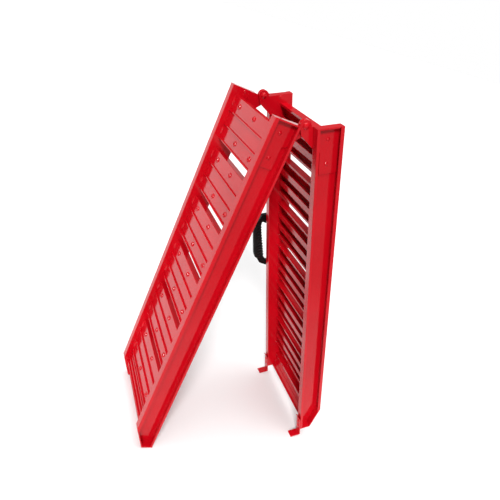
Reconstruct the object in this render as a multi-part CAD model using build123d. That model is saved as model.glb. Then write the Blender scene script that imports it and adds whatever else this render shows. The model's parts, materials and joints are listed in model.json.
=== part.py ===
from build123d import *
import math
import os

# A two-part folding dog ramp, standing open like an A-frame.
# Each half is modelled in its own section frame, in millimetres:
#   X runs down the half from the hinge pin, Y runs across it,
#   Z points out through the walking surface, and the pin lies along Y at the origin.
# The two halves are the same weldment, one turned half a turn about the vertical.

# ---- driving dimensions ----
FOLD_ANGLE = 25.7          # angle between the two halves as it stands, degrees
UNDERSIDE = 16.5           # underside of the rails, above the hinge pin
RAIL_HEIGHT = 62.0
WEB_INSIDE = 126.5         # inner face of each rail's web, from the centre line
WEB_THICK = 3.0
FLANGE_WIDTH = 22.0        # from the web's inner face to the outer edge
FLANGE_THICK = 2.5
LIP_THICK = 2.2
TOP_LIP = 9.0
BOTTOM_LIP = 6.0
RAIL_START = 3.0           # the rails almost meet end to end when opened flat
TOP_FLANGE_END = 855.0     # where the ramp tip starts to slope down
RAIL_END = 918.5
TIP_HEIGHT = 30.5          # height left at the very tip
CAP_THICK = 3.0

TREAD_COUNT = 6
TREAD_START = 23.6
TREAD_PITCH = 136.8
TREAD_WIDTH = 111.4        # along the ramp
TREAD_FLOOR = UNDERSIDE + 46.0     # walking surface of a tread
TREAD_DEPTH = 17.5         # from the walking surface down to the tread's feet
TREAD_WALL = 2.6
TREAD_LENGTH = 2 * WEB_INSIDE - 0.2
RIB_THICK = 3.0
RIB_HEIGHT = 3.6
RIB_PLACES = (37.0, 72.5, 108.4)
END_WALL_PLACE = 105.0
FOOT_WIDTH = 17.0
EDGE_FOOT_WIDTH = 6.5
CORNER = 0.7
DIMPLE_BASE = 7.0
DIMPLE_TOP = 4.8
DIMPLE_HEIGHT = 2.8
DIMPLE_HOLE = 3.3
DIMPLE_ROWS = ((17.6, (-79.0, 22.0)), (91.8, (-22.0, 79.0)))

END_PLATE_START = 826.0
END_PLATE_BREAK = 867.0    # where the end plate starts to slope down
END_PLATE_TIP = (914.5, TREAD_FLOOR - 24.0)
END_RIB_HEIGHT = 3.5

PLATE_THICK = 5.0          # hinge plates
PLATE_TOP = UNDERSIDE + 17.0
PLATE_LENGTH = 50.0
PLATE_CHIN = ((18.5, -10.5), (4.0, -12.0))     # its lower edge, from the rail to the knuckle
KNUCKLE = 13.2
WASHER_GAP = 1.6
WASHER_THICK = 1.0
WASHER_RADIUS = 10.0
PIVOT_RADIUS = 4.0
RUNNING = 0.05             # radial clearance on the pivots
PIVOT_HEAD = 7.5
PIVOT_HEAD_HEIGHT = 4.5
DOUBLER_THICK = 3.5
DOUBLER_END = 109.5
DOUBLER_STEP = 56.0        # where the doubler narrows to its tail
RIVET_PLACES = ((31.5, UNDERSIDE + 32.0), (86.5, UNDERSIDE + 32.0))
RIVET_HEAD = 4.6
RIVET_HEAD_HEIGHT = 2.4
RIVET_SHANK = 2.4
INNER_RIVET = (10.0, UNDERSIDE + 28.5)
INNER_HEAD = 4.2
INNER_HEAD_HEIGHT = 2.0

HOOK_THICK = 3.0
HOOK_WIDTH = 21.0
HOOK_FLARE = 875.5         # where the turned-down end starts
HOOK_FLARE_DROP = 2.5
HOOK_START = 884.0
HOOK_FOOT = 943.0
HOOK_TIP = UNDERSIDE - 30.0
HOOK_BOLTS = (893.0, 909.0)
BOLT_HOLE = 3.0
BOLT_SHANK = 2.95
BOLT_HEAD = 5.2
BOLT_HEAD_HEIGHT = 2.8
BOLT_NUT = 5.5                 # radius over the corners
BOLT_NUT_HEIGHT = 4.4
BOLT_TAIL = 5.0                # shank left above the flange

HANDLE_ENDS = (364.0, 514.5)
HANDLE_PIN = (165.5, 31.0)     # across, up
HANDLE_DEPTH = 12.0
HANDLE_EYE = 7.0
HANDLE_PIN_RADIUS = 2.5
BAIL_START = 350.0
BAIL_END = 523.0
BRACKET_HALF = 13.0
BRACKET_BASE = 2.5
EAR_THICK = 6.0
EAR_RADIUS = 6.0
EAR_GAP = 0.4
GRIP_SPAN = (386.0, 494.0)
GRIP_LOW = -18.0
GRIP_HIGH = (8.0, 14.0)        # inner side of the grip at its upper and lower end
GRIP_DEPTH = 18.0
SCREW_SHIFT = 8.5
SCREW_HEIGHT = 45.0
SCREW_HEAD = 3.6
SCREW_HEAD_HEIGHT = 2.2

SIDE_STEP = (PLATE_THICK + WASHER_GAP) / 2     # each half sits this far off the centre line
RAIL_TOP = UNDERSIDE + RAIL_HEIGHT
OUTER_EDGE = WEB_INSIDE + FLANGE_WIDTH
WEB_OUTSIDE = WEB_INSIDE + WEB_THICK
TREAD_FOOT = TREAD_FLOOR - TREAD_DEPTH


# ---- small helpers ----
def block(x, y, z):
    """A box between the low and high value given for each axis."""
    size = (x[1] - x[0], y[1] - y[0], z[1] - z[0])
    place = ((x[0] + x[1]) / 2, (y[0] + y[1]) / 2, (z[0] + z[1]) / 2)
    return Pos(*place) * Box(*size)


def rect(x, z):
    """A flat rectangle between the low and high value given for each axis."""
    return Pos((x[0] + x[1]) / 2, (z[0] + z[1]) / 2) * Rectangle(x[1] - x[0], z[1] - z[0])


def outline(points):
    return make_face(Polyline(*points, close=True))


def across(face, y):
    """Stand a flat X-Z outline up and run it across the ramp from y[0] to y[1]."""
    return extrude(Plane.XZ.offset(-y[1]) * face, y[1] - y[0])


def along(face, x):
    """Stand a flat Y-Z outline up and run it down the ramp from x[0] to x[1]."""
    return extrude(Plane.YZ.offset(x[0]) * face, x[1] - x[0])


def rod(radius, start, end, direction):
    """A round bar between two distances along Y or X through the section origin."""
    turn = Rot(-90, 0, 0) if direction == "y" else Rot(0, 90, 0)
    bar = Cylinder(radius, end - start, align=(Align.CENTER, Align.CENTER, Align.MIN))
    shift = Pos(0, start, 0) if direction == "y" else Pos(start, 0, 0)
    return shift * turn * bar


def dome(radius, height):
    """A low button head standing on its flat side, pointing along +Z."""
    ball = (radius ** 2 + height ** 2) / (2 * height)
    return Pos(0, 0, height - ball) * Sphere(ball) & Pos(0, 0, radius / 2) * Box(
        3 * radius, 3 * radius, radius)


def both_sides(piece):
    return {"far": piece, "near": mirror(piece, Plane.XZ)}


# ---- pieces shared by both halves, in the section frame ----
def tip_slope(x):
    """Height of the sloping top edge at the ramp's tip."""
    drop = (RAIL_HEIGHT - TIP_HEIGHT) / (RAIL_END - TOP_FLANGE_END)
    return RAIL_TOP - drop * (x - TOP_FLANGE_END)


def cap_drop():
    slope = (RAIL_HEIGHT - TIP_HEIGHT) / (RAIL_END - TOP_FLANGE_END)
    return CAP_THICK * math.sqrt(1 + slope ** 2)


def rail():
    """Lipped channel opening outwards, with its tip cut on the slope."""
    edge = OUTER_EDGE
    lip = edge - LIP_THICK
    low, high = UNDERSIDE, RAIL_TOP
    points = [
        (WEB_INSIDE, low), (edge, low), (edge, low + BOTTOM_LIP), (lip, low + BOTTOM_LIP),
        (lip, low + FLANGE_THICK), (WEB_OUTSIDE, low + FLANGE_THICK),
        (WEB_OUTSIDE, high - FLANGE_THICK), (lip, high - FLANGE_THICK),
        (lip, high - TOP_LIP), (edge, high - TOP_LIP), (edge, high), (WEB_INSIDE, high),
    ]
    section = outline(points)
    corners = [v for v in section.vertices()
               if abs(v.Y - low) < 0.01 or abs(v.Y - high) < 0.01]
    section = fillet(corners, 1.6)
    beyond = RAIL_END + 5
    waste = outline([
        (TOP_FLANGE_END, RAIL_TOP - cap_drop()), (beyond, tip_slope(beyond) - cap_drop()),
        (beyond, RAIL_TOP + 5), (TOP_FLANGE_END, RAIL_TOP + 5)])
    return along(section, (RAIL_START, RAIL_END - CAP_THICK)) - across(waste, (WEB_INSIDE - 5, edge + 5))


def tip_cap():
    """Bent plate that closes a rail at the tip: a sloping top and an upright end."""
    drop = cap_drop()
    inside = RAIL_END - CAP_THICK
    plate = outline([
        (TOP_FLANGE_END, RAIL_TOP), (RAIL_END, tip_slope(RAIL_END)), (RAIL_END, UNDERSIDE),
        (inside, UNDERSIDE), (inside, tip_slope(inside) - drop), (TOP_FLANGE_END, RAIL_TOP - drop)])
    return across(plate, (WEB_INSIDE, OUTER_EDGE))


def dimple(x, y):
    """Raised ring punched in the walking surface for grip."""
    profile = outline([
        (0, -0.5), (DIMPLE_BASE, -0.5), (DIMPLE_BASE, 0), (DIMPLE_BASE - 0.9, 0.5),
        (DIMPLE_TOP + 0.4, DIMPLE_HEIGHT - 0.3), (DIMPLE_TOP - 0.3, DIMPLE_HEIGHT),
        (0, DIMPLE_HEIGHT)])
    return Pos(x, y, TREAD_FLOOR) * revolve(Plane.XZ * profile, Axis.Z)


def dimple_hole(x, y):
    return Pos(x, y, TREAD_FLOOR) * Cylinder(DIMPLE_HOLE, 12)


def tread_section():
    """End view of a tread: deck, walls, feet and raised ribs."""
    foot, deck = TREAD_FOOT, TREAD_FLOOR
    view = rect((0, TREAD_WIDTH), (deck - TREAD_WALL, deck))
    view += rect((0, TREAD_WALL), (foot, deck))
    view += rect((0, EDGE_FOOT_WIDTH), (foot, foot + TREAD_WALL))
    view += rect((END_WALL_PLACE, END_WALL_PLACE + TREAD_WALL), (foot, deck))
    view += rect((END_WALL_PLACE + TREAD_WALL - EDGE_FOOT_WIDTH, END_WALL_PLACE + TREAD_WALL),
                 (foot, foot + TREAD_WALL))
    for place in RIB_PLACES:
        view += rect((place, place + RIB_THICK), (deck - 1, deck + RIB_HEIGHT))
    for place in RIB_PLACES[:2]:
        middle = place + RIB_THICK / 2
        view += rect((middle - TREAD_WALL / 2, middle + TREAD_WALL / 2), (foot, deck - 1))
        view += rect((middle - FOOT_WIDTH / 2, middle + FOOT_WIDTH / 2), (foot, foot + TREAD_WALL))
    return fillet(view.vertices(), CORNER)


def tread():
    """One extruded tread, at the place of the first."""
    body = across(tread_section(), (-TREAD_LENGTH / 2, TREAD_LENGTH / 2))
    for x, places in DIMPLE_ROWS:
        for y in places:
            body += dimple(x, y)
    for x, places in DIMPLE_ROWS:
        for y in places:
            body -= dimple_hole(x, y)
    return Pos(TREAD_START, 0, 0) * body


def end_plate():
    """Ribbed transition plate that slopes down to the ramp's tip."""
    start, turn, deck, foot = END_PLATE_START, END_PLATE_BREAK, TREAD_FLOOR, TREAD_FOOT
    wall = TREAD_WALL
    tip_x, tip_z = END_PLATE_TIP
    run, fall = tip_x - turn, deck - tip_z
    slant = math.hypot(run, fall)
    side = (wall * fall / slant, wall * run / slant)
    view = rect((start, turn), (deck - wall, deck))
    view += rect((start, start + wall), (deck - 10, deck + END_RIB_HEIGHT))
    view += rect((turn - wall, turn), (foot, deck - 1))
    view += rect((turn - wall, turn + 9), (foot, foot + wall))
    view += outline([
        (turn - 0.6, deck), (tip_x, tip_z), (tip_x - side[0], tip_z - side[1]),
        (turn - 0.6 - side[0], deck - side[1])])
    view += rect((tip_x - wall, tip_x), (tip_z - 7, tip_z))
    for place in (start + 17, start + 34):
        view += rect((place, place + wall), (deck - 1, deck + END_RIB_HEIGHT))
    for share in (0.36, 0.72):
        x, z = turn + run * share, deck - fall * share
        view += Pos(x, z) * Rot(0, 0, -math.degrees(math.atan2(fall, run))) * Rectangle(
            wall, 2 * END_RIB_HEIGHT)
    return across(view, (-TREAD_LENGTH / 2, TREAD_LENGTH / 2))


def hinge_plate():
    """Welded plate inside a rail that carries the pivot's knuckle."""
    shape = outline([
        (RAIL_START, 0), (RAIL_START, PLATE_TOP), (PLATE_LENGTH, PLATE_TOP),
        (PLATE_LENGTH, UNDERSIDE), *PLATE_CHIN])
    ends = [v for v in shape.vertices() if v.X > PLATE_LENGTH - 1]
    shape = fillet(ends, 4) + Circle(KNUCKLE)
    plate = across(shape, (WEB_INSIDE - PLATE_THICK, WEB_INSIDE))
    plate -= rod(PIVOT_RADIUS + RUNNING, WEB_INSIDE - 2 * PLATE_THICK, WEB_INSIDE + 5, "y")
    rims = plate.edges().filter_by(GeomType.CIRCLE)
    rims = [e for e in rims if abs(e.radius - KNUCKLE) < 0.01]
    return chamfer(rims, 0.5)


def doubler():
    """Stiffening plate riveted inside the channel, with a flange that closes the hinge end."""
    low, high = UNDERSIDE + FLANGE_THICK + 0.5, RAIL_TOP - FLANGE_THICK - 0.5
    tail = UNDERSIDE + 15
    shape = outline([
        (RAIL_START, low), (DOUBLER_STEP, low), (DOUBLER_STEP, tail), (DOUBLER_END, tail),
        (DOUBLER_END, high), (RAIL_START, high)])
    bend = [v for v in shape.vertices() if abs(v.X - DOUBLER_STEP) < 0.01]
    shape = fillet(bend, 5.9)
    plate = across(shape, (WEB_OUTSIDE, WEB_OUTSIDE + DOUBLER_THICK))
    plate += block((RAIL_START, RAIL_START + DOUBLER_THICK), (WEB_OUTSIDE, OUTER_EDGE - LIP_THICK - 0.5),
                   (low, high))
    for x, z in RIVET_PLACES:
        plate -= Pos(x, 0, z) * rod(RIVET_SHANK, WEB_OUTSIDE - 1, WEB_OUTSIDE + 9, "y")
    return plate


def rivet():
    """Domed rivet from the doubler's face back to the web's outer face."""
    face = WEB_OUTSIDE + DOUBLER_THICK
    head = Pos(0, face, 0) * Rot(-90, 0, 0) * dome(RIVET_HEAD, RIVET_HEAD_HEIGHT)
    return head + rod(RIVET_SHANK, WEB_OUTSIDE, face + 0.5, "y")


def rivets():
    pieces = []
    for x, z in RIVET_PLACES:
        right = Pos(x, 0, z) * rivet()
        pieces += [right, mirror(right, Plane.XZ)]
    x, z = INNER_RIVET
    head = Pos(x, WEB_INSIDE, z) * Rot(90, 0, 0) * dome(INNER_HEAD, INNER_HEAD_HEIGHT)
    pieces += [head, mirror(head, Plane.XZ)]
    return Compound(children=pieces)


def half_ramp():
    """Every piece that both halves have, by name."""
    pieces = {}
    for side, piece in both_sides(rail()).items():
        pieces["rail_" + side] = piece
    first = tread()
    for number in range(TREAD_COUNT):
        pieces["tread_%d" % (number + 1)] = Pos(number * TREAD_PITCH, 0, 0) * first
    pieces["end_plate"] = end_plate()
    for side, piece in both_sides(tip_cap()).items():
        pieces["tip_cap_" + side] = piece
    for side, piece in both_sides(hinge_plate()).items():
        pieces["hinge_plate_" + side] = piece
    for side, piece in both_sides(doubler()).items():
        pieces["doubler_" + side] = piece
    pieces["rivets"] = rivets()
    return pieces


# ---- hooks on the upper half's tip ----
def hook():
    """Bent strip under a rail's tip: a flared end, a flat and a foot turned down."""
    low, high = UNDERSIDE - HOOK_THICK, UNDERSIDE
    view = rect((HOOK_START, HOOK_FOOT), (low, high))
    view += rect((HOOK_FOOT - HOOK_THICK, HOOK_FOOT), (HOOK_TIP, high))
    view += outline([
        (HOOK_START, high), (HOOK_START, low), (HOOK_FLARE, low - HOOK_FLARE_DROP),
        (HOOK_FLARE, high - HOOK_FLARE_DROP)])
    outer = [v for v in view.vertices() if v.X > HOOK_FOOT - 1 and v.Y > high - 1]
    view = fillet(outer, 3.5)
    inner = [v for v in view.vertices()
             if abs(v.X - HOOK_FOOT + HOOK_THICK) < 0.01 and abs(v.Y - low) < 0.01]
    view = fillet(inner, 1.5)
    strip = across(view, (WEB_INSIDE, WEB_INSIDE + HOOK_WIDTH))
    for x in HOOK_BOLTS:
        strip -= Pos(x, hook_bolt_side(), 0) * Cylinder(BOLT_HOLE, 60)
    return strip


def hook_bolt_side():
    return WEB_OUTSIDE + (FLANGE_WIDTH - WEB_THICK - LIP_THICK) / 2


def hook_bolts():
    """Button screws through hook and flange, with a nut inside the channel."""
    pieces = []
    under, inside = UNDERSIDE - HOOK_THICK, UNDERSIDE + FLANGE_THICK
    for x in HOOK_BOLTS:
        head = Pos(0, 0, under) * Rot(180, 0, 0) * dome(BOLT_HEAD, BOLT_HEAD_HEIGHT)
        tail = inside + BOLT_TAIL
        shank = Pos(0, 0, (under + tail) / 2) * Cylinder(BOLT_SHANK, tail - under + 1)
        half_nut = BOLT_NUT_HEIGHT / 2
        nut = Pos(0, 0, inside + half_nut) * extrude(RegularPolygon(BOLT_NUT, 6), half_nut, both=True)
        right = Pos(x, hook_bolt_side(), 0) * (head + shank + nut)
        pieces += [right, mirror(right, Plane.XZ)]
    return Compound(children=pieces)


def rail_with_bolt_holes(piece, side):
    place = hook_bolt_side() * side
    for x in HOOK_BOLTS:
        piece -= Pos(x, place, UNDERSIDE) * Cylinder(BOLT_HOLE, 2 * FLANGE_THICK + 2)
    return piece


# ---- carrying handle on the upper half's far rail ----
def at_handle_pin(piece):
    return Pos(0, HANDLE_PIN[0], HANDLE_PIN[1]) * piece


def handle_bracket(x):
    """Foot on the web with an ear that reaches out past the lips."""
    y, z = HANDLE_PIN
    half = EAR_THICK / 2
    face = WEB_OUTSIDE + BRACKET_BASE
    base = block((x - BRACKET_HALF, x + BRACKET_HALF), (WEB_OUTSIDE, face), (z - 3, z + 31))
    arm = block((x - half, x + half), (WEB_OUTSIDE, y), (z - 5, z + EAR_RADIUS))
    gusset = extrude(Plane.YZ.offset(x - half) * outline([
        (WEB_OUTSIDE, z + 5), (WEB_OUTSIDE, z + 27), (WEB_OUTSIDE + 22, z + 5)]), EAR_THICK)
    eye = at_handle_pin(rod(EAR_RADIUS, x - half, x + half, "x"))
    hole = at_handle_pin(rod(HANDLE_PIN_RADIUS + RUNNING, x - 20, x + 20, "x"))
    return base + arm + gusset + eye - hole


def handle_screws():
    pieces = []
    for x in HANDLE_ENDS:
        for shift in (-SCREW_SHIFT, SCREW_SHIFT):
            place = Pos(x + shift, WEB_OUTSIDE + BRACKET_BASE, SCREW_HEIGHT)
            pieces.append(place * Rot(-90, 0, 0) * dome(SCREW_HEAD, SCREW_HEAD_HEIGHT))
    return Compound(children=pieces)


def handle_bail():
    """Flat crescent frame of the handle, with a slotted eye at each end."""
    y, top = HANDLE_PIN
    outer = outline([
        (BAIL_START, top), (BAIL_START, 10), (BAIL_START + 28, -12), (482, -13),
        (BAIL_END - 12, -1), (BAIL_END, 20), (BAIL_END, top)])
    outer = fillet([v for v in outer.vertices() if v.Y < top - 1], 8)
    inner = outline([
        (BAIL_START + 28, top + 20), (BAIL_START + 28, 20), (BAIL_START + 21, 9),
        (GRIP_SPAN[0], 5), (484, 8), (BAIL_END - 16, 21), (BAIL_END - 16, top + 20)])
    inner = fillet([v for v in inner.vertices() if v.Y < top - 1], 2.5)
    frame = across(outer - inner, (y - HANDLE_DEPTH / 2, y + HANDLE_DEPTH / 2))
    for start, end in ((BAIL_START, BAIL_START + 28), (BAIL_END - 16, BAIL_END)):
        frame += at_handle_pin(rod(HANDLE_EYE, start, end, "x"))
    for x in HANDLE_ENDS:
        gap = EAR_THICK / 2 + EAR_GAP
        frame -= block((x - gap, x + gap), (y - 15, y + 15), (top - 9.5, top + 15))
        frame -= at_handle_pin(rod(HANDLE_PIN_RADIUS, *pin_span(x), "x"))
    return frame


def handle_grip():
    """Soft sleeve moulded round the middle of the handle, fuller towards its lower end."""
    y = HANDLE_PIN[0]
    start, end = GRIP_SPAN
    side = outline([
        (start, GRIP_LOW + 4), (start + 10, GRIP_LOW), (end - 15, GRIP_LOW), (end, GRIP_LOW + 7),
        (end, GRIP_HIGH[1]), (start + 15, GRIP_HIGH[0]), (start, GRIP_HIGH[0])])
    sleeve = across(side, (y - GRIP_DEPTH / 2, y + GRIP_DEPTH / 2))
    long_edges = [e for e in sleeve.edges() if abs(e.tangent_at(0.5).Y) < 0.5]
    long_edges = [e for e in long_edges if start + 1 < e.center().X < end - 1]
    sleeve = fillet(long_edges, 5)
    return sleeve - handle_bail()


def pin_span(x):
    """From end to end of the pin at one of the handle's eyes."""
    return x - 7.5, x + 7.5


def handle_pins():
    pins = [at_handle_pin(rod(HANDLE_PIN_RADIUS, *pin_span(x), "x")) for x in HANDLE_ENDS]
    return Compound(children=pins)


# ---- fold pivots, in the upper half's section frame ----
def pivot_stack(side):
    """Where the two hinge plates lie across the ramp on one side: upper half's, then lower's."""
    start = WEB_INSIDE - PLATE_THICK if side == "far" else -WEB_INSIDE
    own = (start, start + PLATE_THICK)
    step = 2 * SIDE_STEP
    return own, (own[0] + step, own[1] + step)


def pivot_bolt(side):
    own, other = pivot_stack(side)
    head = Pos(0, own[0], 0) * Rot(90, 0, 0) * dome(PIVOT_HEAD, PIVOT_HEAD_HEIGHT)
    return head + rod(PIVOT_RADIUS, own[0] - 0.5, other[1] + 7, "y")


def pivot_nut(side):
    own, other = pivot_stack(side)
    start = other[1] + 0.3
    body = extrude(Plane.XZ.offset(-start - 6) * RegularPolygon(7.2, 6), 6)
    cap = Pos(0, start + 6, 0) * Rot(-90, 0, 0) * dome(6.0, 3.5)
    return body + cap - rod(PIVOT_RADIUS, start - 5, other[1] + 7, "y")


def pivot_washer(side):
    own, other = pivot_stack(side)
    middle = (own[1] + other[0]) / 2
    disc = rod(WASHER_RADIUS, middle - WASHER_THICK / 2, middle + WASHER_THICK / 2, "y")
    return disc - rod(PIVOT_RADIUS + RUNNING, middle - 5, middle + 5, "y")


# ---- putting the halves together ----
def lower_half():
    return {"lower_" + name: piece for name, piece in half_ramp().items()}


def upper_half():
    pieces = {"upper_" + name: piece for name, piece in half_ramp().items()}
    for name, side in (("upper_rail_far", 1), ("upper_rail_near", -1)):
        pieces[name] = rail_with_bolt_holes(pieces[name], side)
    for side, piece in both_sides(hook()).items():
        pieces["hook_" + side] = piece
    pieces["hook_bolts"] = hook_bolts()
    pieces["handle_bracket_top"] = handle_bracket(HANDLE_ENDS[0])
    pieces["handle_bracket_bottom"] = handle_bracket(HANDLE_ENDS[1])
    pieces["handle_screws"] = handle_screws()
    pieces["handle_bail"] = handle_bail()
    pieces["handle_grip"] = handle_grip()
    pieces["handle_pins"] = handle_pins()
    for side in ("near", "far"):
        pieces["pivot_bolt_" + side] = pivot_bolt(side)
        pieces["pivot_nut_" + side] = pivot_nut(side)
        pieces["pivot_washer_" + side] = pivot_washer(side)
    return pieces


def lean_angles():
    """Lean of each half from the vertical, so rail tips and hook feet share one floor."""
    fold = math.radians(FOLD_ANGLE)
    drop = -HOOK_TIP
    rise = RAIL_END - HOOK_FOOT * math.cos(fold) - drop * math.sin(fold)
    reach = UNDERSIDE + HOOK_FOOT * math.sin(fold) - drop * math.cos(fold)
    lower = math.atan2(rise, reach)
    return lower, fold - lower


def section_plane(lean, direction):
    """Frame of a half that hangs from the pin, leaning out along +X or -X."""
    down = (direction * math.sin(lean), 0, -math.cos(lean))
    outward = (direction * math.cos(lean), 0, math.sin(lean))
    return Plane(origin=(0, -direction * SIDE_STEP, 0), x_dir=down, z_dir=outward)


def assemble():
    """Stand both halves on the floor and centre them; also give the pin's place."""
    lower_lean, upper_lean = lean_angles()
    pieces = {}
    for half, plane in ((lower_half(), section_plane(lower_lean, -1)),
                        (upper_half(), section_plane(upper_lean, 1))):
        for name, piece in half.items():
            pieces[name] = plane.location * piece
    box = Compound(children=[Compound(piece.wrapped) for piece in pieces.values()]).bounding_box()
    shift = Pos(-(box.min.X + box.max.X) / 2, -(box.min.Y + box.max.Y) / 2, -box.min.Z)
    pieces = {name: shift * piece for name, piece in pieces.items()}
    return pieces, shift.position


def main():
    os.makedirs("parts", exist_ok=True)
    pieces, pin = assemble()
    for name, piece in pieces.items():
        export_step(piece, "parts/%s.step" % name)
    lower_lean, upper_lean = lean_angles()
    print("pin at %.4f %.4f %.4f" % (pin.X, pin.Y, pin.Z))
    print("lean %.4f %.4f" % (math.degrees(lower_lean), math.degrees(upper_lean)))
    print("pieces", len(pieces))


if __name__ == "__main__":
    main()
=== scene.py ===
import json
import math

import bmesh
import bpy
from mathutils import Matrix, Vector


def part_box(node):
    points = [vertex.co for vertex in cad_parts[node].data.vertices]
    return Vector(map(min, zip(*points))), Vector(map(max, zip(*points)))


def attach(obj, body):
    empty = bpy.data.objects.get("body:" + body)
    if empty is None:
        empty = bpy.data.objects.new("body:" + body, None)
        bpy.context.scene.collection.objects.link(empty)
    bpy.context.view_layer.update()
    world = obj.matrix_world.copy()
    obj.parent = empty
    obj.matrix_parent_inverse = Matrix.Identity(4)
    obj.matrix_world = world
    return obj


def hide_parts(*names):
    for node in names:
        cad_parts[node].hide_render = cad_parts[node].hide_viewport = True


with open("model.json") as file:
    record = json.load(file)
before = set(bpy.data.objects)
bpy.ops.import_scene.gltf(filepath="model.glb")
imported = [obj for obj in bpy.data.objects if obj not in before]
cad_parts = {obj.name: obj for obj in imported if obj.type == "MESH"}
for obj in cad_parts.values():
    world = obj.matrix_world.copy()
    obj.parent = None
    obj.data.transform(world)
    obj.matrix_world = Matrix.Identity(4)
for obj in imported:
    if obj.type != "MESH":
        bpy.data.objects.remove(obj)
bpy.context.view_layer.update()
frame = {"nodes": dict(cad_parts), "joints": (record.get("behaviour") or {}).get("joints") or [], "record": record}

# Folding dog ramp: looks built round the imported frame. Metres throughout.
# Each half has its own section axes: s runs down the half from the fold pin,
# y runs across the ramp and n points out through the walking surface.

MM = 0.001

# ---- sizes taken over from the frame's design ----
WEB_INSIDE = 126.5 * MM        # inner face of a rail's web, from the half's centre line
UNDERSIDE = 16.5 * MM          # underside of the rails, above the pin
TREAD_HEIGHT = 46.0 * MM       # from the rails' underside to a tread's deck
TREAD_FLOOR = UNDERSIDE + TREAD_HEIGHT
TREAD_COUNT = 6
TREAD_START = 23.6 * MM
TREAD_PITCH = 136.8 * MM
SIDE_STEP = 3.3 * MM           # each half sits this far off the pin's middle
GRIP_START = 386.0 * MM        # the handle's sleeve, along the upper half
GRIP_END = 494.0 * MM
GRIP_LOW = -18.0 * MM          # one side of the sleeve, along n
GRIP_HIGH = (8.0 * MM, 14.0 * MM)      # its ridged side, at the upper and lower end

# ---- weld beads ----
BEAD_PLACES = (18.0 * MM, 92.0 * MM)   # middles of the beads along a tread's end
BEAD_LENGTH = 18.0 * MM
BEAD_LEG = 4.2 * MM
BEAD_SINK = 0.4 * MM           # how far a bead's root reaches into the metal
BEAD_STEPS = 36
BEAD_TURNS = 7
BEAD_RIPPLES = 8
BEAD_RIPPLE_DEPTH = 0.13       # share of the leg
BEAD_HOLLOW = 0.24             # how far the face curves in, as a share of the leg
BEAD_TIP = 0.03                # share of the length where a bead is blunt
BEAD_END_CURVE = 0.35          # power that rounds a bead's ends

# ---- handle sleeve ----
GRIP_STEPS = 220
GRIP_TURNS = 48
GRIP_ROUND_UPPER = 0.14        # shares of the length over which the crescent rounds off
GRIP_ROUND_LOWER = 0.22
GRIP_ROUND_DEPTH = 6.0 * MM
GRIP_END_WIDTH = 0.72          # width at the very ends, as a share of the full width
GRIP_CLOSE_OVER = 4.0 * MM     # the full width is reached within this length
GRIP_SQUARENESS = 0.62         # power of the rounded-square section
RIDGE_PITCH = 9.4 * MM
RIDGE_DEPTH = 3.2 * MM
RIDGE_FADE = 8.0 * MM          # ridges fade out over this length at each end
RIDGE_SLANT = (-0.35, 0.55)    # shift in pitches, across the sleeve and up it
RIDGE_WRAP = (0.62, 0.75)      # ridge strength half way round, and its gain to the ridged side
RIDGE_CURVE = 1.5              # power that narrows the grooves

# ---- finishes ----
RED = (0.50, 0.0022, 0.008)
RED_DARKER = (0.93, 0.93, 0.93)        # channel by channel, in the paint's darker clouds
RED_LIGHTER = (1.05, 1.15, 1.15)
BLACK_DARKER = (0.75, 0.75, 0.78)
BLACK_LIGHTER = (1.35, 1.33, 1.33)
RAIL_LINES = (190.0, 190.0, 1.0)       # lines per metre, squeezed so that they run down the half
TREAD_LINES = (420.0, 1.5, 420.0)      # and across it

# ---- floor and surround ----
FLOOR_SIZE = 60.0
FLOOR_GREY = (0.40, 0.40, 0.40, 1.0)
FLOOR_WHITE = (0.86, 0.86, 0.86, 1.0)
FLOOR_GREY_UNTIL = -1.1        # along Y: grey up to here, in front of the ramp
FLOOR_WHITE_FROM = -0.4        # and white from here on
SKY_LEVELS = ((0.0, 1.0), (0.11, 1.0), (0.19, 0.20), (0.60, 0.24), (0.85, 0.85))  # height, tone

# ---- camera ----
CAMERA_PLACE = (-0.5632, -1.0486, 1.0964)
CAMERA_AZIMUTH = 27.02
CAMERA_DOWN = 25.47
CAMERA_ROLL = 17.0
CAMERA_LENS = 36.07
CAMERA_SENSOR = 36.0
CAMERA_NEAR = 0.05
CAMERA_FAR = 200.0


def joint(name):
    return next(j for j in frame["joints"] if j["name"] == name)


class Half:
    """Section axes of one half, in the row's frame."""

    def __init__(self, direction):
        fold = joint("fold_hinge")
        upper_s = Vector(joint("handle_swing")["axis"]).normalized()
        upper_lean = math.atan2(upper_s.x, -upper_s.z)
        opening = math.radians(-fold["range_deg"][0])
        lean = upper_lean if direction > 0 else opening - upper_lean
        self.s = Vector((direction * math.sin(lean), 0, -math.cos(lean)))
        self.n = Vector((direction * math.cos(lean), 0, math.sin(lean)))
        self.y = self.n.cross(self.s)
        self.origin = Vector(fold["pos_m"]) - Vector((0, direction * SIDE_STEP, 0))

    def at(self, s, y, n):
        return self.origin + self.s * s + self.y * y + self.n * n

    def across(self, point):
        """How far a point lies to the side of the half's centre line."""
        return (Vector(point) - self.origin).dot(self.y)


LOWER = Half(-1)
UPPER = Half(1)


# ---- materials ----
def tinted(colour, factors):
    """A colour scaled channel by channel, with full opacity."""
    return tuple(c * f for c, f in zip(colour, factors)) + (1.0,)


def node_material(name):
    material = bpy.data.materials.new(name)
    material.use_nodes = True
    nodes = material.node_tree.nodes
    nodes.clear()
    shader = nodes.new("ShaderNodeBsdfPrincipled")
    output = nodes.new("ShaderNodeOutputMaterial")
    material.node_tree.links.new(shader.outputs["BSDF"], output.inputs["Surface"])
    return material, shader


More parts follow.
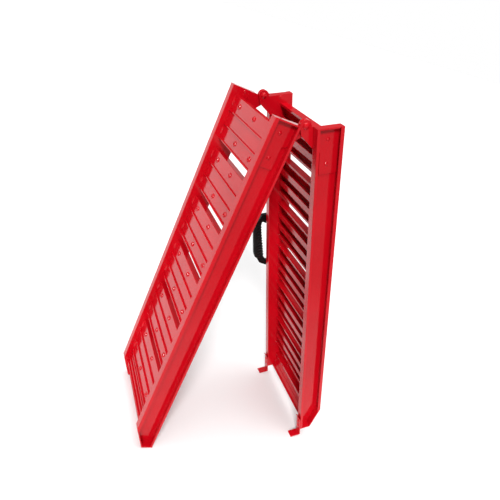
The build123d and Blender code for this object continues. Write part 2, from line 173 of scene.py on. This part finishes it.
def noise(tree, scale, detail, roughness=0.5):
    """Noise over the object's own coordinates, so it rides with the piece."""
    place = tree.nodes.new("ShaderNodeTexCoord")
    cloud = tree.nodes.new("ShaderNodeTexNoise")
    cloud.inputs["Scale"].default_value = scale
    cloud.inputs["Detail"].default_value = detail
    cloud.inputs["Roughness"].default_value = roughness
    tree.links.new(place.outputs["Object"], cloud.inputs["Vector"])
    return cloud.outputs["Fac"]


def ramp(tree, value, low, high, start=0.35, end=0.65):
    """A colour that goes from low to high as a value goes from start to end."""
    stops = tree.nodes.new("ShaderNodeValToRGB")
    stops.color_ramp.elements[0].position = start
    stops.color_ramp.elements[1].position = end
    stops.color_ramp.elements[0].color = low
    stops.color_ramp.elements[1].color = high
    tree.links.new(value, stops.inputs["Fac"])
    return stops.outputs["Color"]


def spread(tree, value, low, high):
    """A number between low and high that follows a value between 0 and 1."""
    change = tree.nodes.new("ShaderNodeMapRange")
    change.inputs["To Min"].default_value = low
    change.inputs["To Max"].default_value = high
    tree.links.new(value, change.inputs["Value"])
    return change.outputs["Result"]


def bump(tree, value, strength, distance, after=None):
    """Fine relief from a value, on top of an earlier relief if there is one."""
    relief = tree.nodes.new("ShaderNodeBump")
    relief.inputs["Strength"].default_value = strength
    relief.inputs["Distance"].default_value = distance
    tree.links.new(value, relief.inputs["Height"])
    if after:
        tree.links.new(after, relief.inputs["Normal"])
    return relief.outputs["Normal"]


def drawn_lines(tree, half, scales):
    """Fine lines left by the extrusion die, in the half's own axes."""
    place = tree.nodes.new("ShaderNodeTexCoord")
    turn = tree.nodes.new("ShaderNodeMapping")
    turn.inputs["Rotation"].default_value = (0, math.atan2(half.s.x, half.s.z), 0)
    turn.vector_type = "TEXTURE"
    squeeze = tree.nodes.new("ShaderNodeMapping")
    squeeze.inputs["Scale"].default_value = scales
    lines = tree.nodes.new("ShaderNodeTexNoise")
    lines.inputs["Scale"].default_value = 1.0
    lines.inputs["Detail"].default_value = 2.0
    tree.links.new(place.outputs["Object"], turn.inputs["Vector"])
    tree.links.new(turn.outputs["Vector"], squeeze.inputs["Vector"])
    tree.links.new(squeeze.outputs["Vector"], lines.inputs["Vector"])
    return lines.outputs["Fac"]


def red_powder_coat(name, half=None, line_scales=None):
    """Glossy red powder coat: slow colour drift, faint orange peel, the extrusion's lines."""
    material, shader = node_material(name)
    tree = material.node_tree
    drift = noise(tree, scale=7.0, detail=2.0)
    colour = ramp(tree, drift, tinted(RED, RED_DARKER), tinted(RED, RED_LIGHTER))
    tree.links.new(colour, shader.inputs["Base Color"])
    haze = noise(tree, scale=60.0, detail=4.0)
    tree.links.new(spread(tree, haze, low=0.07, high=0.14), shader.inputs["Roughness"])
    peel = noise(tree, scale=480.0, detail=2.0)
    normal = bump(tree, peel, strength=0.10, distance=0.10 * MM)
    if half:
        lines = drawn_lines(tree, half, line_scales)
        normal = bump(tree, lines, strength=0.35, distance=0.25 * MM, after=normal)
    tree.links.new(normal, shader.inputs["Normal"])
    shader.inputs["Specular IOR Level"].default_value = 0.28
    return material


def zinc_steel():
    """Zinc-plated washer: fine grain and small dull patches."""
    material, shader = node_material("zinc_steel")
    tree = material.node_tree
    patches = noise(tree, scale=260.0, detail=4.0)
    colour = ramp(tree, patches, (0.42, 0.42, 0.43, 1), (0.62, 0.61, 0.59, 1))
    tree.links.new(colour, shader.inputs["Base Color"])
    tree.links.new(spread(tree, patches, low=0.28, high=0.5), shader.inputs["Roughness"])
    grain = noise(tree, scale=900.0, detail=2.0)
    relief = bump(tree, grain, strength=0.2, distance=0.10 * MM)
    tree.links.new(relief, shader.inputs["Normal"])
    shader.inputs["Metallic"].default_value = 1.0
    return material


def black_surface(name, tone, rough, grain_scale, grain_depth):
    """Moulded black material with a fine spark-eroded grain."""
    material, shader = node_material(name)
    tree = material.node_tree
    drift = noise(tree, scale=40.0, detail=3.0)
    grey = (tone, tone, tone)
    colour = ramp(tree, drift, tinted(grey, BLACK_DARKER), tinted(grey, BLACK_LIGHTER))
    tree.links.new(colour, shader.inputs["Base Color"])
    gloss = spread(tree, drift, low=rough - 0.06, high=rough + 0.08)
    tree.links.new(gloss, shader.inputs["Roughness"])
    grain = noise(tree, grain_scale, detail=3.0, roughness=0.6)
    relief = bump(tree, grain, strength=0.35, distance=grain_depth)
    tree.links.new(relief, shader.inputs["Normal"])
    shader.inputs["Specular IOR Level"].default_value = 0.16
    return material


def pale_floor():
    """Matt white studio floor that turns to pale grey well in front of the ramp."""
    material, shader = node_material("pale_floor")
    tree = material.node_tree
    place = tree.nodes.new("ShaderNodeTexCoord")
    split = tree.nodes.new("ShaderNodeSeparateXYZ")
    tree.links.new(place.outputs["Object"], split.inputs["Vector"])
    span = tree.nodes.new("ShaderNodeMapRange")
    span.interpolation_type = "SMOOTHSTEP"
    span.inputs["From Min"].default_value = FLOOR_GREY_UNTIL
    span.inputs["From Max"].default_value = FLOOR_WHITE_FROM
    tree.links.new(split.outputs["Y"], span.inputs["Value"])
    tone = ramp(tree, span.outputs["Result"], FLOOR_GREY, FLOOR_WHITE, start=0.0, end=1.0)
    tree.links.new(tone, shader.inputs["Base Color"])
    drift = noise(tree, scale=0.6, detail=3.0)
    tree.links.new(spread(tree, drift, low=0.75, high=0.85), shader.inputs["Roughness"])
    shader.inputs["Specular IOR Level"].default_value = 0.1
    return material


def dress(node, material):
    """Give a CAD node its finish, in every slot it has."""
    piece = frame["nodes"][node]
    if not piece.data.materials:
        piece.data.materials.append(material)
    for index in range(len(piece.data.materials)):
        piece.data.materials[index] = material


# ---- pieces ----
def mesh_piece(name, shape, material, body):
    """Turn a finished shape into a smooth piece that rides on a body."""
    bmesh.ops.recalc_face_normals(shape, faces=shape.faces)
    mesh = bpy.data.meshes.new(name)
    shape.normal_update()
    shape.to_mesh(mesh)
    shape.free()
    mesh.materials.append(material)
    for face in mesh.polygons:
        face.use_smooth = True
    piece = bpy.data.objects.new(name, mesh)
    bpy.context.scene.collection.objects.link(piece)
    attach(piece, body)
    return piece


def skin(shape, rings):
    """Close a row of equal rings of points into one solid skin."""
    count = len(rings[0])
    for first, second in zip(rings, rings[1:]):
        for k in range(count):
            after = (k + 1) % count
            shape.faces.new((first[k], first[after], second[after], second[k]))
    shape.faces.new(rings[0])
    shape.faces.new(rings[-1][::-1])


def weld_bead(shape, half, middle, side):
    """A rippled fillet bead in the corner between a tread's deck and a web."""
    rings = []
    for i in range(BEAD_STEPS + 1):
        share = i / BEAD_STEPS
        swell = math.sin(math.pi * min(max(share, BEAD_TIP), 1 - BEAD_TIP)) ** BEAD_END_CURVE
        ripple = 1 - BEAD_RIPPLE_DEPTH * abs(math.sin(math.pi * BEAD_RIPPLES * share))
        leg = BEAD_LEG * swell * ripple
        s = middle + BEAD_LENGTH * (share - 0.5)
        ring = []
        for k in range(BEAD_TURNS + 1):
            angle = math.pi / 2 * k / BEAD_TURNS
            reach = leg * (1 - BEAD_HOLLOW * math.sin(2 * angle))
            across = WEB_INSIDE - reach * math.cos(angle)
            up = TREAD_FLOOR + reach * math.sin(angle)
            ring.append(shape.verts.new(half.at(s, side * across, up)))
        root = half.at(s, side * (WEB_INSIDE + BEAD_SINK), TREAD_FLOOR - BEAD_SINK)
        ring.append(shape.verts.new(root))
        rings.append(ring)
    skin(shape, rings)


def weld_beads(half, body, material):
    """All the beads of one half, two at each end of each tread."""
    shape = bmesh.new()
    for number in range(TREAD_COUNT):
        start = TREAD_START + number * TREAD_PITCH
        for place in BEAD_PLACES:
            for side in (-1, 1):
                weld_bead(shape, half, start + place, side)
    mesh_piece(body + "_weld_beads", shape, material, body)


def grip_sides(share):
    """Plain and ridged side of the crescent-shaped sleeve, part way along it."""
    rounding = min(1.0, share / GRIP_ROUND_UPPER, (1 - share) / GRIP_ROUND_LOWER)
    low = GRIP_LOW + (1 - math.sin(math.pi / 2 * rounding)) * GRIP_ROUND_DEPTH
    rise = max(0.0, share - GRIP_ROUND_UPPER) / (1 - GRIP_ROUND_UPPER)
    high = GRIP_HIGH[0] + (GRIP_HIGH[1] - GRIP_HIGH[0]) * rise
    return low, high


def ridge_sink(s, c, d):
    """Depth of the finger ridges at a place along the sleeve and a direction round it."""
    slant = RIDGE_SLANT[0] * c + RIDGE_SLANT[1] * d
    wave = 0.5 + 0.5 * math.cos(2 * math.pi * ((s - GRIP_START) / RIDGE_PITCH + slant))
    inner_side = min(1.0, max(0.0, RIDGE_WRAP[0] + RIDGE_WRAP[1] * d))
    return RIDGE_DEPTH * inner_side * (1 - wave) ** RIDGE_CURVE


def ribbed_grip(material):
    """Soft handle sleeve with slanting finger ridges on one side."""
    low_corner, high_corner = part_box("handle_grip")
    middle_y = UPPER.across([(a + b) / 2 for a, b in zip(low_corner, high_corner)])
    half_y = (high_corner[1] - low_corner[1]) / 2
    length = GRIP_END - GRIP_START
    shape = bmesh.new()
    rings = []
    for i in range(GRIP_STEPS + 1):
        share = i / GRIP_STEPS
        s = GRIP_START + length * share
        low, high = grip_sides(share)
        middle_n, half_n = (low + high) / 2, (high - low) / 2
        end_gap = min(share, 1 - share) * length
        closing = math.sqrt(min(1.0, end_gap / GRIP_CLOSE_OVER))
        width = GRIP_END_WIDTH + (1 - GRIP_END_WIDTH) * closing
        fade = min(1.0, end_gap / RIDGE_FADE)
        ring = []
        for k in range(GRIP_TURNS):
            angle = 2 * math.pi * k / GRIP_TURNS
            c, d = math.cos(angle), math.sin(angle)
            sink = fade * ridge_sink(s, c, d)
            y = (half_y * width - sink) * math.copysign(abs(c) ** GRIP_SQUARENESS, c)
            n = (half_n * width - sink) * math.copysign(abs(d) ** GRIP_SQUARENESS, d)
            ring.append(shape.verts.new(UPPER.at(s, middle_y + y, middle_n + n)))
        rings.append(ring)
    skin(shape, rings)
    grip = mesh_piece("ribbed_grip", shape, material, "handle")
    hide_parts("handle_grip")


# ---- stage ----
def make_floor():
    shape = bmesh.new()
    bmesh.ops.create_grid(shape, x_segments=8, y_segments=8, size=FLOOR_SIZE)
    mesh = bpy.data.meshes.new("floor")
    shape.to_mesh(mesh)
    shape.free()
    mesh.materials.append(pale_floor())
    floor = bpy.data.objects.new("floor", mesh)
    bpy.context.scene.collection.objects.link(floor)


def make_world():
    """Studio surround: white near the horizon, dimmer walls and a bright ceiling."""
    world = bpy.data.worlds.new("studio")
    world.use_nodes = True
    tree = world.node_tree
    place = tree.nodes.new("ShaderNodeTexCoord")
    split = tree.nodes.new("ShaderNodeSeparateXYZ")
    tree.links.new(place.outputs["Generated"], split.inputs["Vector"])
    stops = tree.nodes.new("ShaderNodeValToRGB")
    tree.links.new(split.outputs["Z"], stops.inputs["Fac"])
    while len(stops.color_ramp.elements) < len(SKY_LEVELS):
        stops.color_ramp.elements.new(0.5)
    for element, (height, level) in zip(stops.color_ramp.elements, SKY_LEVELS):
        element.position = height
        element.color = (level, level, level, 1)
    background = tree.nodes["Background"]
    tree.links.new(stops.outputs["Color"], background.inputs["Color"])
    background.inputs["Strength"].default_value = 1.0
    bpy.context.scene.world = world


def sun(name, towards, strength, softness):
    """A distant soft lamp that lights object and floor evenly."""
    data = bpy.data.lights.new(name, "SUN")
    data.energy = strength
    data.angle = math.radians(softness)
    light = bpy.data.objects.new(name, data)
    light.rotation_euler = Vector(towards).to_track_quat("-Z", "Y").to_euler()
    bpy.context.scene.collection.objects.link(light)


def make_camera():
    """The camera looks down at the ramp and is rolled a little."""
    azimuth, down, roll = (math.radians(v) for v in (CAMERA_AZIMUTH, CAMERA_DOWN, CAMERA_ROLL))
    forward = Vector((math.sin(azimuth) * math.cos(down), math.cos(azimuth) * math.cos(down),
                      -math.sin(down)))
    right = Vector((math.cos(azimuth), -math.sin(azimuth), 0))
    up = right.cross(forward)
    tilted_right = right * math.cos(roll) + up * math.sin(roll)
    tilted_up = up * math.cos(roll) - right * math.sin(roll)
    data = bpy.data.cameras.new("camera")
    data.lens = CAMERA_LENS
    data.sensor_width = CAMERA_SENSOR
    data.clip_start = CAMERA_NEAR
    data.clip_end = CAMERA_FAR
    camera = bpy.data.objects.new("camera", data)
    turn = Matrix((tilted_right, tilted_up, -forward)).transposed()
    camera.matrix_world = Matrix.Translation(CAMERA_PLACE) @ turn.to_4x4()
    bpy.context.scene.collection.objects.link(camera)
    bpy.context.scene.camera = camera


def main():
    red = red_powder_coat("red_powder_coat")
    coats = {
        ("lower", "rail"): red_powder_coat("red_rail_lower", LOWER, RAIL_LINES),
        ("upper", "rail"): red_powder_coat("red_rail_upper", UPPER, RAIL_LINES),
        ("lower", "tread"): red_powder_coat("red_tread_lower", LOWER, TREAD_LINES),
        ("upper", "tread"): red_powder_coat("red_tread_upper", UPPER, TREAD_LINES)}
    zinc = zinc_steel()
    plastic = black_surface(
        "black_plastic", tone=0.006, rough=0.34, grain_scale=1400.0, grain_depth=0.06 * MM)
    rubber = black_surface(
        "black_rubber", tone=0.005, rough=0.38, grain_scale=1100.0, grain_depth=0.08 * MM)
    steel = black_surface(
        "black_steel", tone=0.03, rough=0.35, grain_scale=900.0, grain_depth=0.06 * MM)
    finishes = {"red_paint": red, "washer_steel": zinc, "black_plastic": plastic,
                "grip_rubber": rubber, "black_steel": steel}
    for part in frame["record"]["subparts"]:
        half_name, kind = part["node"].split("_")[:2]
        if kind == "end":  # the end plate has the treads' finish
            kind = "tread"
        finish = coats.get((half_name, kind)) or finishes[part["material_slot"]]
        dress(part["node"], finish)
    weld_beads(LOWER, "lower_section", red)
    weld_beads(UPPER, "upper_section", red)
    ribbed_grip(rubber)
    make_floor()
    make_world()
    sun("key", towards=(0.42, 0.78, -0.62), strength=2.8, softness=12.0)
    sun("top", towards=(0.05, 0.1, -1.0), strength=1.6, softness=50.0)
    bpy.context.scene.view_settings.view_transform = "Standard"
    make_camera()


main()
